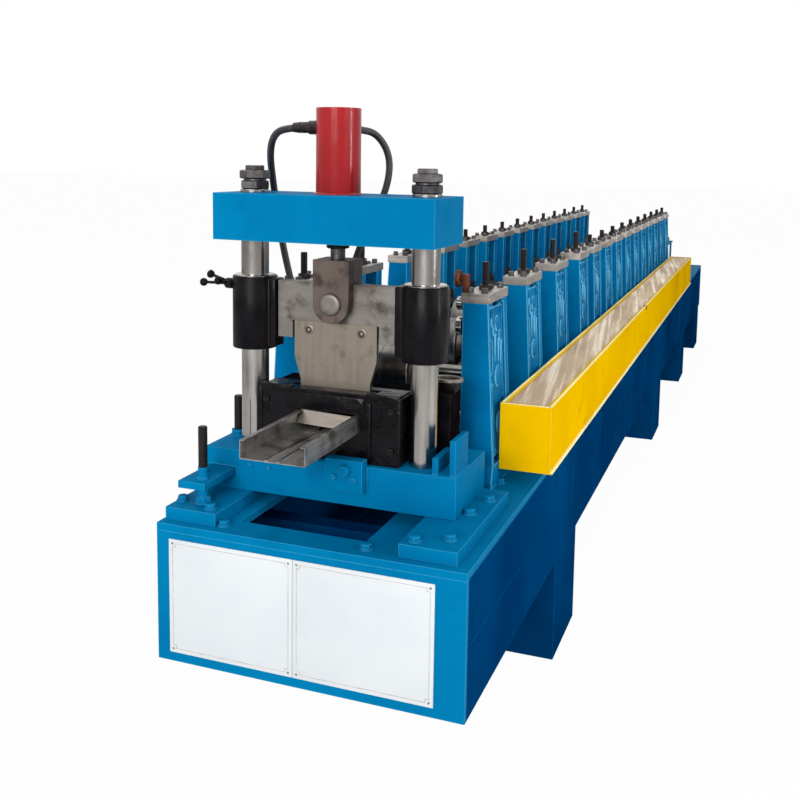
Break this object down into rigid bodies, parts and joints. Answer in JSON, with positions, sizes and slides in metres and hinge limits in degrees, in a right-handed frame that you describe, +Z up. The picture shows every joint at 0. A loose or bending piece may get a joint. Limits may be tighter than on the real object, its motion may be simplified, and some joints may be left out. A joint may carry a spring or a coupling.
{
  "type": "roll forming machine",
  "caption": "Roll forming machine for steel studs: two rows of roll stands on a long blue base, a hydraulic cutter at the exit and a yellow chain guard along one side.",
  "frame": {"origin": "on the floor, under the centre of the plan", "axes": "+Y along the machine from the cutter to the infeed end, +X across towards the chain guard, +Z up"},
  "size_m": [0.966, 7.47, 1.8],
  "materials": {
    "blue_paint": "gloss enamel",
    "dark_blue_paint": "satin enamel",
    "yellow_paint": "gloss enamel",
    "red_paint": "satin enamel",
    "white_plate": "satin",
    "black_gloss": "gloss black",
    "motor_paint": "satin enamel",
    "chrome": "polished",
    "ground_steel": "ground",
    "brown_steel": "oily",
    "roll_steel": "turned and oiled",
    "dark_steel": "black oxide",
    "mesh_steel": "woven wire",
    "galvanised": "galvanised",
    "hose_rubber": "matt"
  },
  "bodies": {
    "root": {"adjusting_screws": "dark_steel", "bed_plate": "blue_paint", "chain_guard": "yellow_paint", "cross_members": "dark_blue_paint", "cutter_base": "blue_paint", "cutter_pads": "blue_paint", "cylinder_barrel": "red_paint", "drive_chain": "dark_steel", "drive_motor": "motor_paint", "drive_sprockets": "dark_steel", "end_plates": "blue_paint", "exit_guide": "black_gloss", "formed_profile": "galvanised", "gear_reducer": "motor_paint", "guard_feet": "blue_paint", "guard_mesh": "mesh_steel", "guide_posts": "chrome", "hose_manifold": "black_gloss", "infeed_guides": "ground_steel", "infeed_table": "blue_paint", "left_hose": "hose_rubber", "left_stands": "blue_paint", "legs": "blue_paint", "levelling_studs": "dark_steel", "lower_chocks": "dark_steel", "lower_die": "black_gloss", "lower_rolls": "roll_steel", "name_plates": "white_plate", "post_nuts": "dark_steel", "right_hose": "hose_rubber", "right_stands": "blue_paint", "side_beams": "blue_paint", "stand_caps": "ground_steel", "top_crossbeam": "blue_paint", "upper_chocks": "dark_steel", "upper_rolls": "roll_steel"},
    "carriage": {"guide_sleeves": "black_gloss", "blade_carrier": "ground_steel", "cutting_blade": "ground_steel", "rod_clevis": "brown_steel", "clevis_pin": "brown_steel", "piston_rod": "chrome", "clamp_levers": "black_gloss"},
    "exit_lower_shaft": {"exit_lower_roll": "roll_steel"},
    "exit_upper_shaft": {"exit_upper_roll": "roll_steel"}
  },
  "joints": [
    {"name": "cutter_stroke", "type": "slide", "parent": "root", "child": "carriage", "axis": [0, 0, 1], "range_m": [-0.085, 0.025]},
    {"name": "exit_lower_turn", "type": "hinge", "parent": "root", "child": "exit_lower_shaft", "pos_m": [-0.045, -2.975, 0.889], "axis": [1, 0, 0], "continuous": true},
    {"name": "exit_upper_turn", "type": "hinge", "parent": "root", "child": "exit_upper_shaft", "pos_m": [-0.045, -2.975, 1.03], "axis": [1, 0, 0], "continuous": true}
  ],
  "couplings": [
    {"joint": "exit_upper_turn", "follows": "exit_lower_turn", "ratio": -1}
  ]
}
